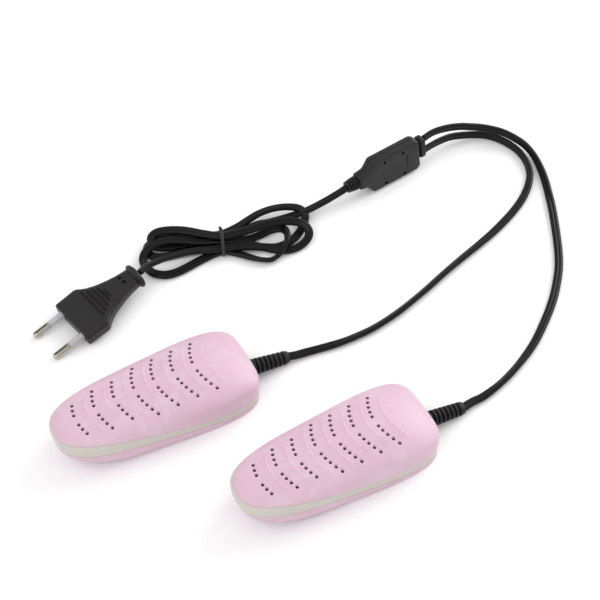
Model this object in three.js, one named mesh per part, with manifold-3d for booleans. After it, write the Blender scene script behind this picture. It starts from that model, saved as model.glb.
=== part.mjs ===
// A pair of electric boot dryers on one mains lead.
// Units are millimetres, +Z is up, and the dryers rest on the plane z = 0. The origin is
// the middle of the floor area that the two dryers cover.
//
// Each dryer has its own frame: +X runs from the toe to the heel, +Y to the left, and the
// shells are three bands of one hull. The lead leaves each heel through a ribbed boot.
import * as THREE from 'three';
import { mergeVertices } from 'three/addons/utils/BufferGeometryUtils.js';
import Module from 'manifold-3d';

const wasm = await Module();
wasm.setup();

// ---- Driving dimensions -------------------------------------------------------------

const GAP = 0.3;                       // air between pieces that touch
const DRYERS = [
  { side: 'left', x: -56.1, y: 10.66, yaw: 28.6 },
  { side: 'right', x: 37.71, y: -24.22, yaw: 30.0 },
];

// Hull: plan outline, two half superellipses that meet at MIDDLE.
const MIDDLE = 2.56;
const TOE_LENGTH = 50;
const HEEL_LENGTH = 62.2;
const HALF_WIDTH = 22.9;
const TOE_POWER = 2.89;
const HEEL_POWER = 4.8;
const TAPER = 0.002;                   // the hull widens towards the heel, per mm
const TOE_END = MIDDLE - TOE_LENGTH;
const HEEL_END = MIDDLE + HEEL_LENGTH;

// Hull: side view.
const CROWN_HEIGHT = 28.5;
const CROWN_X = 24.6;
const CROWN_TOE_POWER = 2.93;
const CROWN_HEEL_POWER = 1.8;
const DOME_POWER = 2.12;
const BELT_HEIGHT = 16.4;              // the level where the hull is widest
const TOE_LIFT = 8.42;                 // how far the sole rises at the toe
const LIFT_POWER = 1.6;
const BILGE_POWER = 2.6;
const BILGE_HEEL = 0.54;               // how far the sole's edge is drawn in
const BILGE_TOE = 12;

const WALL = 1.8;
const FLOOR = 2.0;

// Cream band between the shells: it climbs from the heel and levels out at the toe.
const BAND_START = 62;
const BAND_RUN = 107;
const BAND_LOW = { height: 3.0, climb: 12.6 };
const BAND_HIGH = { height: 7.6, climb: 15.2 };
const BAND_POWER = 2;

// Vent holes: seven bowed rows, none on the centreline.
const ROW_HOLES = [3, 4, 4, 5, 5, 5, 5];
const ROW_PITCH = 11.3;
const HOLE_PITCH = 3.18;
const ROW_BOW = 0.0207;
const HOLE_RADIUS = 0.95;

// Cord exit boot.
const BOOT = { x: 64.8, y: -1.7, z: 7.0, drop: 9.0, turn: -2.4, length: 23.2, root: 4.5, tip: 3.3 };
const BOOT_RIBS = 8;
const BOOT_NECK = 3.3;

const SCREWS = [
  { x: -18, y: 0 },
  { x: 46, y: 14 },
  { x: 46, y: -14 },
];
const SCREW = { shank: 1.2, head: 2.4, length: 10, headHeight: 1.2 };
const BOSS_RADIUS = 2.9;
const PAD = { radius: 4.2, height: 2.0 };

// Flat two-core lead.
const LEAD_WIDTH = 4.9;
const LEAD_THICKNESS = 2.8;

// Y joint, standing on its long edge and leaning back a little.
const JOINT = { x: 85.5, y: 182.1, z: 0.7, yaw: 34.7, lean: 10, thickness: 8 };
const JOINT_AXIS = 10.8;               // height of the inlet above the lower edge
const JOINT_BEVEL = 1.4;
const JOINT_WALL = 1.8;

// Plug: two round pins, flat waisted body.
const PLUG = { x: -95.5, y: 70.2, z: 5.2, heading: 220.7, pitch: 8.6 };
const PLUG_WIDTH = 30.4;
const PLUG_THICKNESS = 8.8;
const PIN_SPACING = 18.6;
const PIN = { radius: 2.0, shank: 1.2, length: 19.6, root: 8, sleeve: 9.1, sleeveRadius: 1.95 };

// Tied hank of the mains lead.
const HANK_HEIGHT = 9.2;
const TIE = { x: -15.4, y: 129.3, yaw: 13, width: 15.4, bar: 1.3 };

// Routes of the free leads, centre of the lead, hand placed.
const LEFT_ROUTE = [
  [22.6, 50.5, 3.3], [26.8, 51.8, 2.8], [31.6, 53.9, 2.2], [38.6, 56.5, 1.8],
  [46.2, 59.0, 2.0], [53.3, 61.8, 2.1], [60.2, 65.3, 2.1], [67.3, 69.2, 2.2],
  [75.0, 74.7, 2.2], [83.2, 81.4, 2.3], [91.5, 89.4, 2.2], [100.1, 98.1, 2.2],
  [109.3, 108.1, 2.2], [119.4, 118.5, 2.0], [129.5, 128.5, 1.9], [138.5, 137.8, 1.8],
  [145.2, 145.6, 1.8], [152.1, 154.6, 1.8], [157.7, 163.6, 2.1], [161.4, 172.6, 2.4],
  [163.1, 181.6, 2.5], [162.0, 189.9, 2.5], [159.1, 197.1, 2.6], [154.5, 203.1, 2.6],
  [149.0, 207.5, 2.7], [142.8, 210.7, 2.8], [136.4, 211.9, 3.0], [129.9, 211.6, 3.4],
  [123.9, 210.3, 4.2], [118.0, 208.2, 5.3], [112.0, 204.3, 6.5], [106.5, 199.7, 7.7],
  [101.4, 194.8, 8.8],
];
const RIGHT_ROUTE = [
  [115.4, 17.6, 3.3], [120.4, 21.5, 2.7], [125.3, 24.5, 2.2], [130.1, 28.2, 2.2],
  [135.3, 32.9, 2.2], [140.8, 38.7, 2.2], [146.7, 46.1, 2.0], [152.2, 53.9, 1.8],
  [157.3, 62.5, 1.7], [161.6, 71.6, 1.6], [165.9, 81.7, 1.5], [169.5, 91.8, 1.5],
  [172.2, 102.1, 1.5], [174.2, 112.6, 1.5], [175.0, 123.3, 1.5], [175.0, 134.8, 1.5],
  [174.6, 146.5, 1.6], [173.9, 157.3, 2.1], [172.8, 167.4, 2.3], [171.5, 177.3, 2.5],
  [169.3, 187.3, 2.7], [166.1, 196.1, 3.2], [161.3, 202.6, 4.6], [155.1, 206.7, 6.3],
  [148.7, 209.3, 8.0], [142.1, 210.3, 9.6], [135.6, 210.3, 11.2], [129.0, 209.4, 12.8],
  [123.8, 208.4, 14.2], [117.3, 206.5, 15.4], [111.3, 203.9, 16.4], [106.0, 200.8, 17.0],
  [100.6, 196.0, 17.2],
];
const PLUG_END_ROUTE = [
  [-59.5, 101.4, 12.2], [-58.2, 103.4, 12.1], [-56.7, 105.5, 11.9], [-55.0, 107.6, 11.5],
];
const JOINT_END_ROUTE = [
  [55.3, 163.3, 11.1], [52.1, 161.2, 10.3], [48.6, 159.6, 8.9], [44.5, 157.7, 7.4],
  [40.3, 155.7, 6.2], [36.3, 153.8, 5.2], [31.9, 151.7, 4.6],
];

// ---- Materials ----------------------------------------------------------------------

const finish = (color, roughness, metalness = 0) => () =>
  new THREE.MeshStandardMaterial({ color, roughness, metalness });
const PINK = finish(0xe6bfd0, 0.35);
const CREAM = finish(0xd9d5c9, 0.45);
const BLACK = finish(0x2b2a2c, 0.6);
const RUBBER = finish(0x232224, 0.7);
const STEEL = finish(0xb9bbbd, 0.3, 1);
const NICKEL = finish(0xc9c3ae, 0.25, 1);
const ALUMINIUM = finish(0xc4c6c8, 0.4, 1);
const CERAMIC = finish(0xd8cdbb, 0.8);
const MICA = finish(0xb08a5c, 0.7);
const NYLON = finish(0xe8e6e0, 0.5);

// ---- Solids -------------------------------------------------------------------------

function toSolid(geometry) {
  const bare = geometry.clone();
  for (const name of Object.keys(bare.attributes)) {
    if (name !== 'position') bare.deleteAttribute(name);
  }
  const merged = mergeVertices(bare, 1e-4);
  const mesh = new wasm.Mesh({
    numProp: 3,
    vertProperties: new Float32Array(merged.attributes.position.array),
    triVerts: new Uint32Array(merged.index.array),
  });
  return new wasm.Manifold(mesh);
}

function toGeometry(solid) {
  const mesh = solid.getMesh();
  const geometry = new THREE.BufferGeometry();
  geometry.setAttribute('position', new THREE.BufferAttribute(mesh.vertProperties, 3));
  geometry.setIndex(new THREE.BufferAttribute(mesh.triVerts, 1));
  geometry.computeVertexNormals();
  return geometry;
}

const radians = THREE.MathUtils.degToRad;
const power = (value, exponent) => Math.pow(Math.abs(value), exponent);
const quarter = (value, exponent) =>
  Math.pow(Math.max(0, 1 - power(value, exponent)), 1 / exponent);

function block(x0, x1, y0, y1, z0, z1) {
  const geometry = new THREE.BoxGeometry(x1 - x0, y1 - y0, z1 - z0);
  return geometry.translate((x0 + x1) / 2, (y0 + y1) / 2, (z0 + z1) / 2);
}

// Round bar along +Z from z0 to z1.
function bar(radius, x, y, z0, z1, sides = 12) {
  const geometry = new THREE.CylinderGeometry(radius, radius, z1 - z0, sides);
  return geometry.rotateX(Math.PI / 2).translate(x, y, (z0 + z1) / 2);
}

// A profile of [distance along, radius] turned about the +X axis.
function turned(profile, sides) {
  const points = profile.map(([along, radius]) => new THREE.Vector2(radius, along));
  return new THREE.LatheGeometry(points, sides).rotateZ(-Math.PI / 2);
}

// An outline in the x-z plane, given thickness along Y about y = 0.
function plate(points, thickness, bevel = 0) {
  const shape = new THREE.Shape(points.map(([x, z]) => new THREE.Vector2(x, z)));
  const geometry = new THREE.ExtrudeGeometry(shape, {
    depth: thickness - 2 * bevel,
    bevelEnabled: bevel > 0,
    bevelThickness: bevel,
    bevelSize: bevel,
    bevelOffset: -bevel,
    bevelSegments: 1,
  });
  return geometry.translate(0, 0, bevel - thickness / 2).rotateX(Math.PI / 2);
}

// ---- Hull of one dryer --------------------------------------------------------------

function halfWidth(x, inset) {
  const reach = (x < MIDDLE ? TOE_LENGTH : HEEL_LENGTH) - inset;
  const exponent = x < MIDDLE ? TOE_POWER : HEEL_POWER;
  const across = (HALF_WIDTH - inset) * (1 + TAPER * (x - MIDDLE));
  return across * quarter(Math.min(1, (x - MIDDLE) / reach), exponent);
}

function soleHeight(x) {
  return TOE_LIFT * Math.pow(Math.max(0, x / TOE_END), LIFT_POWER);
}

function beltHeight(x) {
  return BELT_HEIGHT + soleHeight(x) / 2;
}

function domeHeight(x, y, inset) {
  const belt = beltHeight(x);
  const toToe = (CROWN_X - x) / (CROWN_X - TOE_END - inset);
  const toHeel = (x - CROWN_X) / (HEEL_END - inset - CROWN_X);
  const along = x < CROWN_X
    ? quarter(Math.min(1, toToe), CROWN_TOE_POWER)
    : quarter(Math.min(1, toHeel), CROWN_HEEL_POWER);
  const width = halfWidth(x, inset);
  const across = width > 0 ? quarter(Math.min(1, y / width), DOME_POWER) : 0;
  return belt + (CROWN_HEIGHT - inset - belt) * along * across;
}

function outlinePoint(turn, inset) {
  const reach = (Math.cos(turn) > 0 ? HEEL_LENGTH : TOE_LENGTH) - inset;
  const exponent = Math.cos(turn) > 0 ? HEEL_POWER : TOE_POWER;
  const across = HALF_WIDTH - inset;
  const angle = Math.atan2(across * Math.sin(turn), reach * Math.cos(turn));
  const sum = power(Math.cos(angle) / reach, exponent) + power(Math.sin(angle) / across, exponent);
  const radius = Math.pow(sum, -1 / exponent);
  return { angle, radius };
}

function planPoint({ angle, radius }) {
  const along = radius * Math.cos(angle);
  return [MIDDLE + along, radius * Math.sin(angle) * (1 + TAPER * along)];
}

// The closed hull, drawn in all round by inset and with its sole raised by floor.
function hull(inset, floor, around, domeRings) {
  const bilge = [0, 0.1, 0.35, 1];
  const rings = [];
  const outline = Array.from({ length: around }, (_, i) =>
    outlinePoint((2 * Math.PI * i) / around, inset));
  const soleRing = (level) => outline.map((point) => {
    const [x] = planPoint(point);
    const back = (HEEL_END - x) / (HEEL_END - TOE_END);
    const drawn = BILGE_HEEL + BILGE_TOE * back * back;
    const radius = point.radius - drawn * (1 - quarter(1 - level, BILGE_POWER));
    return { angle: point.angle, radius };
  });
  const sole = soleRing(0);
  for (const scale of [0.35, 0.7, 1]) {
    rings.push(sole.map(({ angle, radius }) => {
      const [x, y] = planPoint({ angle, radius: radius * scale });
      return [x, y, soleHeight(x) + floor];
    }));
  }
  for (const level of bilge.slice(1)) {
    rings.push(soleRing(level).map((point) => {
      const [x, y] = planPoint(point);
      const bottom = soleHeight(x) + floor;
      return [x, y, bottom + level * (beltHeight(x) - bottom)];
    }));
  }
  for (let k = 1; k < domeRings; k++) {
    const scale = Math.cos((Math.PI / 2) * (k / domeRings));
    rings.push(outline.map(({ angle, radius }) => {
      const [x, y] = planPoint({ angle, radius: radius * scale });
      return [x, y, domeHeight(x, y, inset)];
    }));
  }
  const vertices = rings.flat();
  const low = vertices.push([MIDDLE, 0, floor]) - 1;
  const high = vertices.push([MIDDLE, 0, domeHeight(MIDDLE, 0, inset)]) - 1;
  const faces = [];
  const last = (rings.length - 1) * around;
  for (let i = 0; i < around; i++) {
    const j = (i + 1) % around;
    faces.push(low, j, i);
    faces.push(high, last + i, last + j);
    for (let r = 0; r < rings.length - 1; r++) {
      const a = r * around;
      const b = a + around;
      faces.push(a + i, a + j, b + j);
      faces.push(a + i, b + j, b + i);
    }
  }
  const geometry = new THREE.BufferGeometry();
  geometry.setAttribute('position', new THREE.Float32BufferAttribute(vertices.flat(), 3));
  geometry.setIndex(faces);
  return toSolid(geometry);
}

function bandEdge(edge, x) {
  const run = Math.min(1, Math.max(0, (BAND_START - x) / BAND_RUN));
  return edge.height + edge.climb * Math.pow(Math.sin((Math.PI / 2) * run), BAND_POWER);
}

// Everything between two edge curves of the side view, across the whole hull.
function slab(lower, upper) {
  const stations = Array.from({ length: 13 }, (_, i) => -60 + 135 * (i / 12));
  const top = stations.map((x) => [x, upper(x)]);
  const bottom = stations.map((x) => [x, lower(x)]).reverse();
  return toSolid(plate([...top, ...bottom], 80));
}

function holePlaces() {
  const places = [];
  ROW_HOLES.forEach((count, row) => {
    for (let k = 1; k <= count; k++) {
      for (const side of [-1, 1]) {
        const y = side * k * HOLE_PITCH;
        places.push([ROW_PITCH * (row - 3) + ROW_BOW * y * y, y]);
      }
    }
  });
  return places;
}

function placedOnBoot(geometry) {
  return geometry
    .rotateY(radians(BOOT.drop))
    .rotateZ(radians(BOOT.turn))
    .translate(BOOT.x, BOOT.y, BOOT.z);
}

function shells() {
  const skin = hull(0, 0, 32, 7).subtract(hull(WALL, FLOOR, 24, 5));
  const low = (shift) => (x) => bandEdge(BAND_LOW, x) + shift;
  const high = (shift) => (x) => bandEdge(BAND_HIGH, x) + shift;
  const neckHole = toSolid(placedOnBoot(turned(
    [[-8, 0], [-8, BOOT_NECK + GAP], [8, BOOT_NECK + GAP], [8, 0]], 12)));

  let lower = skin.intersect(slab(() => -10, low(-GAP / 2)));
  let upper = skin.intersect(slab(high(GAP / 2), () => 60));
  const band = skin.intersect(slab(low(GAP / 2), high(-GAP / 2)));

  for (const { x, y } of SCREWS) {
    const sole = soleHeight(x);
    const padTop = sole + FLOOR + PAD.height;
    lower = lower
      .add(toSolid(bar(PAD.radius, x, y, sole + FLOOR / 2, padTop)))
      .subtract(toSolid(bar(SCREW.shank + GAP, x, y, -1, padTop + 1)))
      .subtract(toSolid(bar(SCREW.head + GAP, x, y, -1, sole + 2 * SCREW.headHeight)));
    const bossTop = domeHeight(x, y, 0) - WALL / 2;
    upper = upper
      .add(toSolid(bar(BOSS_RADIUS, x, y, padTop + GAP, bossTop)))
      .subtract(toSolid(bar(SCREW.shank + GAP, x, y, padTop - 1, padTop + SCREW.length)));
  }
  for (const [x, y] of holePlaces()) {
    upper = upper.subtract(toSolid(bar(HOLE_RADIUS, x, y, BELT_HEIGHT, 40, 6)));
  }
  return {
    upper_shell: [toGeometry(upper.subtract(neckHole)), PINK],
    trim_band: [toGeometry(band.subtract(neckHole)), CREAM],
    lower_shell: [toGeometry(lower.subtract(neckHole)), PINK],
  };
}

// ---- Inner pieces of one dryer ------------------------------------------------------

const HEATER = { x: 10, length: 44, width: 25, low: 7.0, plate: 1.3, fin: 3.2, element: 2.4 };

function finnedPlate(direction) {
  const { x, length, width, plate: base, fin } = HEATER;
  const fins = 6;
  const step = width / fins;
  const points = [[-width / 2, 0], [width / 2, 0], [width / 2, base]];
  for (let i = fins - 1; i >= 0; i--) {
    const start = -width / 2 + i * step + 0.35 * step;
    points.push([start + 0.45 * step, base], [start + 0.3 * step, base + fin]);
    points.push([start + 0.1 * step, base + fin], [start, base]);
  }
  points.push([-width / 2, base]);
  return plate(points.map(([y, z]) => [y, z * direction]), length)
    .rotateZ(Math.PI / 2)
    .translate(x, 0, 0);
}

function heaterBracket() {
  const { width, low } = HEATER;
  const half = width / 2 + 1.6;
  const top = low + 5.0;
  const foot = FLOOR + GAP;
  const points = [
    [-half - 3, foot], [-half + 1.2, foot], [-half + 1.2, low - 4.9], [half - 1.2, low - 4.9],
    [half - 1.2, foot], [half + 3, foot], [half + 3, foot + 1.2], [half, foot + 1.2],
    [half, top], [half - 1.2, top], [half - 1.2, low - 3.7], [-half + 1.2, low - 3.7],
    [-half + 1.2, top], [-half, top], [-half, foot + 1.2], [-half - 3, foot + 1.2],
  ];
  return plate(points, 8).rotateZ(Math.PI / 2).translate(HEATER.x, 0, 0);
}

function innerPieces() {
  const { x, length, width, low, element } = HEATER;
  const elementLow = low + 1.3 + GAP;
  const bottomPlate = finnedPlate(-1).translate(0, 0, elementLow - GAP);
  const topPlate = finnedPlate(1).translate(0, 0, elementLow + element + GAP);
  const ceramic = block(x - length / 2 + 3, x + length / 2 - 3, -width / 2 + 1, width / 2 - 1,
    elementLow, elementLow + element);
  const fuse = turned([[0, 0], [0, 1.5], [9, 1.5], [10, 0.6], [10, 0]], 10)
    .rotateZ(Math.PI / 2)
    .translate(20, -5, 17.9);
  const splice = (y) => turned([[0, 0], [0, 1.2], [1, 1.7], [9, 1.7], [10, 1.2], [10, 0]], 8)
    .translate(37, y, 9);
  const clamp = plate([
    [-8, 0], [-3.2, 0], [-3.2, 2.2], [-2, 3.4], [2, 3.4], [3.2, 2.2], [3.2, 0], [8, 0],
    [8, 2], [4.6, 2.4], [2.8, 5], [-2.8, 5], [-4.6, 2.4], [-8, 2],
  ], 5).rotateZ(Math.PI / 2).translate(53.5, 0, FLOOR + GAP);
  return {
    heat_plate_bottom: [bottomPlate, ALUMINIUM],
    heat_plate_top: [topPlate, ALUMINIUM],
    ceramic_heater: [ceramic, CERAMIC],
    heater_bracket: [heaterBracket(), MICA],
    thermal_fuse: [fuse, STEEL],
    crimp_splice_1: [splice(-4), NYLON],
    crimp_splice_2: [splice(4), NYLON],
    cord_clamp: [clamp, NYLON],
  };
}

function screw(x, y) {
  const { shank, head, length, headHeight } = SCREW;
  const start = soleHeight(x) + headHeight;
  const profile = [[0, 0], [0, head * 0.8], [0.4, head], [headHeight - 0.1, head],
    [headHeight, shank], [length - 1, shank], [length, 0]];
  return turned(profile, 10).rotateY(-Math.PI / 2).translate(x, y, start - 0.3);
}

function boot() {
  const { length, root, tip } = BOOT;
  const profile = [[-5.2, 0], [-5.2, 5.2], [-3.4, 5.2], [-3.4, BOOT_NECK], [1.2, BOOT_NECK]];
  const start = 1.2;
  const pitch = (length - start - 1) / BOOT_RIBS;
  for (let i = 0; i < BOOT_RIBS; i++) {
    const along = start + i * pitch;
    const radius = root + (tip - root) * (i / BOOT_RIBS);
    profile.push([along, radius], [along + 0.55 * pitch, radius]);
    profile.push([along + 0.8 * pitch, radius - 0.8]);
  }
  profile.push([length - 1, tip], [length, tip - 0.4], [length, 0]);
  return placedOnBoot(turned(profile, 10));
}

// ---- Leads --------------------------------------------------------------------------

function lead(route, steps) {
  const curve = new THREE.CatmullRomCurve3(route.map((point) => new THREE.Vector3(...point)));
  const section = new THREE.Shape();
  for (let i = 0; i < 8; i++) {
    const turn = (Math.PI / 4) * (i + 0.5);
    const point = [LEAD_THICKNESS / 2 * Math.cos(turn), LEAD_WIDTH / 2 * Math.sin(turn)];
    if (i === 0) section.moveTo(...point);
    else section.lineTo(...point);
  }
  return new THREE.ExtrudeGeometry(section, { steps, extrudePath: curve, bevelEnabled: false });
}

// The tied hank seen from above: two round lobes and a waist under the tie.
function hank() {
  const shape = new THREE.Shape();
  shape.moveTo(-15.5, 136.0);
  shape.quadraticCurveTo(-24, 137, -37, 139.8);
  shape.absarc(-41.5, 121.8, 18.4, radians(76), radians(283), false);
  shape.quadraticCurveTo(-22, 119, -14.5, 122.6);
  shape.quadraticCurveTo(-4, 117, 8, 115.0);
  shape.absarc(14.6, 135.6, 21.4, radians(288), radians(438), false);
  shape.quadraticCurveTo(2, 147, -15.5, 136.0);
  const geometry = new THREE.ExtrudeGeometry(shape, {
    depth: HANK_HEIGHT,
    bevelEnabled: false,
    curveSegments: 10,
  });
  const notch = block(-TIE.bar, TIE.bar, -12, 12, -1, TIE.bar + 0.5)
    .rotateZ(radians(TIE.yaw))
    .translate(TIE.x, TIE.y, 0);
  return toGeometry(toSolid(geometry).subtract(toSolid(notch)));
}

function twistTie() {
  const half = TIE.width / 2 + 1.6;
  const top = HANK_HEIGHT + GAP + TIE.bar;
  const outer = plate([[-half, 0.1], [half, 0.1], [half, top], [-half, top]], TIE.bar);
  const inside = half - TIE.bar;
  const inner = plate([[-inside, TIE.bar], [inside, TIE.bar], [inside, top - TIE.bar],
    [-inside, top - TIE.bar]], 2 * TIE.bar);
  const ring = toGeometry(toSolid(outer).subtract(toSolid(inner)));
  return ring.rotateZ(radians(TIE.yaw + 90)).translate(TIE.x, TIE.y, 0);
}

// ---- Y joint ------------------------------------------------------------------------

const JOINT_OUTLINE = [
  [-28, 6.8], [-23, 5.8], [-18.5, 0.2], [12.5, 0.2], [14.8, 2.4],
  [14.8, 19.6], [12, 21.4], [-17.6, 21.4], [-21.9, 15.8], [-28, 14.8],
];

function jointHalf(side) {
  const depth = JOINT.thickness;
  const whole = toSolid(plate(JOINT_OUTLINE, depth, JOINT_BEVEL));
  const near = side > 0 ? GAP / 2 : -depth;
  const half = whole.intersect(toSolid(block(-30, 30, near, near + depth - GAP / 2, -5, 30)));
  const pocketDepth = depth / 2 - JOINT_WALL;
  const pocket = block(-14, 11, -pocketDepth, pocketDepth, 4, 17.6);
  const channel = block(-30, -10, -2, 2, JOINT_AXIS - 2.6, JOINT_AXIS + 2.6);
  const outlets = block(10, 20, -2, 2, 6.4, 18.4);
  return toGeometry(half.subtract(toSolid(pocket)).subtract(toSolid(channel))
    .subtract(toSolid(outlets)));
}

function jointInlet() {
  const profile = [[-28.3, 0], [-28.3, 4.1], [-28.9, 4.1]];
  for (let i = 0; i < 4; i++) {
    const along = -28.9 - 1.6 * i;
    const radius = 4.1 - 0.2 * i;
    profile.push([along, radius - 0.9], [along - 0.5, radius - 0.9]);
    profile.push([along - 0.6, radius], [along - 1.5, radius]);
  }
  profile.push([-35.1, 2.9], [-35.1, 0]);
  return turned(profile.reverse(), 12).translate(0, 0, JOINT_AXIS);
}

function jointOutlet() {
  const shape = [[15.1, 6], [18.7, 5.4], [19.6, 6.4], [19.6, 18.4], [18.7, 19.4], [15.1, 18.8]];
  return plate(shape, 7.4, 0.8);
}

function jointPieces() {
  const splice = (z) => turned([[-6, 0], [-6, 1.3], [-5, 1.8], [5, 1.8], [6, 1.3], [6, 0]], 8)
    .translate(-1, 0, z);
  return {
    joint_front_half: [jointHalf(-1), BLACK],
    joint_back_half: [jointHalf(1), BLACK],
    joint_inlet_relief: [jointInlet(), RUBBER],
    joint_outlet_grommet: [jointOutlet(), RUBBER],
    joint_splice_1: [splice(8), NYLON],
    joint_splice_2: [splice(13.6), NYLON],
  };
}

// ---- Plug, in its own frame: +X out of the face, the pins side by side along Y -------

function plugBody() {
  const half = PLUG_WIDTH / 2;
  const plan = new THREE.Shape();
  plan.moveTo(0, -half + 1);
  plan.lineTo(0, half - 1);
  plan.lineTo(-1, half);
  plan.lineTo(-13.9, half);
  plan.lineTo(-18, half - 2.6);
  plan.quadraticCurveTo(-26, 7.2, -42.2, 5.6);
  plan.lineTo(-42.2, -5.6);
  plan.quadraticCurveTo(-26, -7.2, -18, -half + 2.6);
  plan.lineTo(-13.9, -half);
  plan.lineTo(-1, -half);
  const thickness = PLUG_THICKNESS / 2;
  const top = new THREE.ExtrudeGeometry(plan, {
    depth: PLUG_THICKNESS,
    bevelEnabled: false,
    curveSegments: 6,
  }).translate(0, 0, -thickness);
  const side = plate([[0, -thickness], [0, thickness], [-13, thickness], [-24, thickness - 0.3],
    [-42.2, 4], [-42.2, -4], [-24, -thickness + 0.3], [-13, -thickness]], 50);
  let body = toSolid(top).intersect(toSolid(side));
  for (let i = 0; i < 4; i++) {
    const x = -15.5 - 3 * i;
    for (const face of [-1, 1]) {
      const level = face * (thickness - 0.06 * i);
      body = body.subtract(toSolid(block(x - 0.6, x + 0.6, -14, 14, level - 0.7, level + 0.7)));
    }
  }
  const flange = turned([[-46.7, 0], [-46.7, 5.6], [-45.5, 7.4], [-43.1, 7.4], [-41.5, 5.2],
    [-41.5, 0]], 16).scale(1, 1.05, 0.78);
  body = body.add(toSolid(flange));
  for (const face of [-1, 1]) {
    const bore = turned([[-PIN.root - GAP, 0], [-PIN.root - GAP, PIN.shank + GAP],
      [1, PIN.shank + GAP], [1, 0]], 10);
    body = body.subtract(toSolid(bore.translate(0, (face * PIN_SPACING) / 2, 0)));
  }
  return toGeometry(body);
}

function pin() {
  const { radius, shank, length, root, sleeve } = PIN;
  const start = sleeve + GAP;
  const body = turned([[-root, 0], [-root, shank], [start, shank], [start, radius],
    [length - 1.2, radius], [length, radius - 1], [length, 0]], 12);
  const slot = block(start + 1, length - 1.6, -3, 3, -0.35, 0.35);
  return toGeometry(toSolid(body).subtract(toSolid(slot.rotateX(Math.PI / 2))));
}

function pinSleeve() {
  const { shank, sleeve, sleeveRadius } = PIN;
  const inner = shank + GAP;
  return turned([[GAP, inner], [GAP, sleeveRadius], [sleeve, sleeveRadius], [sleeve, inner],
    [GAP, inner]], 12);
}

// ---- Assembly -----------------------------------------------------------------------

function named(name, [geometry, material]) {
  const mesh = new THREE.Mesh(geometry, material());
  mesh.name = name;
  return mesh;
}

const object = new THREE.Group();

for (const { side, x, y, yaw } of DRYERS) {
  const dryer = new THREE.Group();
  dryer.position.set(x, y, 0);
  dryer.rotation.z = radians(yaw);
  const pieces = { ...shells(), ...innerPieces(), cord_boot: [boot(), RUBBER] };
  SCREWS.forEach((place, i) => {
    pieces[`screw_${i + 1}`] = [screw(place.x, place.y), STEEL];
  });
  for (const [name, piece] of Object.entries(pieces)) dryer.add(named(`${side}_${name}`, piece));
  object.add(dryer);
}

const joint = new THREE.Group();
joint.position.set(JOINT.x, JOINT.y, JOINT.z);
joint.rotation.set(-radians(JOINT.lean), 0, radians(JOINT.yaw), 'ZYX');
for (const [name, piece] of Object.entries(jointPieces())) joint.add(named(name, piece));
object.add(joint);

const plug = new THREE.Group();
plug.position.set(PLUG.x, PLUG.y, PLUG.z);
plug.rotation.set(0, radians(PLUG.pitch), radians(PLUG.heading), 'ZYX');
plug.add(named('plug_body', [plugBody(), BLACK]));
[-1, 1].forEach((side, i) => {
  const offset = (side * PIN_SPACING) / 2;
  const metal = named(`plug_pin_${i + 1}`, [pin(), NICKEL]);
  const sleeve = named(`plug_pin_sleeve_${i + 1}`, [pinSleeve(), NYLON]);
  metal.position.y = offset;
  sleeve.position.y = offset;
  plug.add(metal, sleeve);
});
object.add(plug);

object.add(named('left_branch_lead', [lead(LEFT_ROUTE, 40), RUBBER]));
object.add(named('right_branch_lead', [lead(RIGHT_ROUTE, 40), RUBBER]));
object.add(named('mains_lead_plug_end', [lead(PLUG_END_ROUTE, 3), RUBBER]));
object.add(named('mains_lead_joint_end', [lead(JOINT_END_ROUTE, 6), RUBBER]));
object.add(named('mains_lead_hank', [hank(), RUBBER]));
object.add(named('twist_tie', [twistTie(), RUBBER]));

export default object;
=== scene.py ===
"""A pair of electric boot dryers on one mains lead: the look of every piece.

Shapes are made in millimetres, each in its own piece's frame. placed() moves them into
the frame of the CAD and into metres.
"""
import math

import bmesh
import bpy
import numpy as np
from mathutils import Matrix, Vector


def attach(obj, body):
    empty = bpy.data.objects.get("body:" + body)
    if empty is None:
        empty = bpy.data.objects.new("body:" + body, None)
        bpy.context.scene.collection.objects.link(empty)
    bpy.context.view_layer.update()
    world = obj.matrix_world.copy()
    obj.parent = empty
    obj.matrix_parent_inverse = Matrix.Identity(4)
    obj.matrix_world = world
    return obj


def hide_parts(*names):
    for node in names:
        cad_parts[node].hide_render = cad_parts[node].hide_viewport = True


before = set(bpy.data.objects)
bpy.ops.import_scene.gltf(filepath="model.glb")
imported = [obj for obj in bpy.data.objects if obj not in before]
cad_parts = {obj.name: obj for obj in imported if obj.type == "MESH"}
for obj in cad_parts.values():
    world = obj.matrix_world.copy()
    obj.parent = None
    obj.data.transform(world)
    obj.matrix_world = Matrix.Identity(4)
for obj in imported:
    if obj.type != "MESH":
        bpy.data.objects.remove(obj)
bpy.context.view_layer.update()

MM = 0.001                             # a millimetre in metres
METRE = 1000                           # a metre in millimetres

# ---- Camera -------------------------------------------------------------------------

CAMERA_PLACE = (0.02879, -0.5106, 0.7986)
CAMERA_AIM = (0.028791, 0.091209, 0)

camera = bpy.data.objects.new("camera", bpy.data.cameras.new("camera"))
bpy.context.scene.collection.objects.link(camera)
camera.data.lens = 108
camera.data.sensor_width = 36
camera.data.clip_end = 20
camera.location = CAMERA_PLACE
aim = Vector(CAMERA_AIM) - camera.location
camera.rotation_euler = aim.to_track_quat("-Z", "Y").to_euler()
bpy.context.scene.camera = camera
bpy.context.scene.view_settings.view_transform = "Standard"

# ---- Materials ----------------------------------------------------------------------


def noise(tree, place, scale, detail, distortion=0.0):
    node = tree.nodes.new("ShaderNodeTexNoise")
    node.inputs["Scale"].default_value = scale
    node.inputs["Detail"].default_value = detail
    node.inputs["Distortion"].default_value = distortion
    tree.links.new(place.outputs["Object"], node.inputs["Vector"])
    return node


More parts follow.
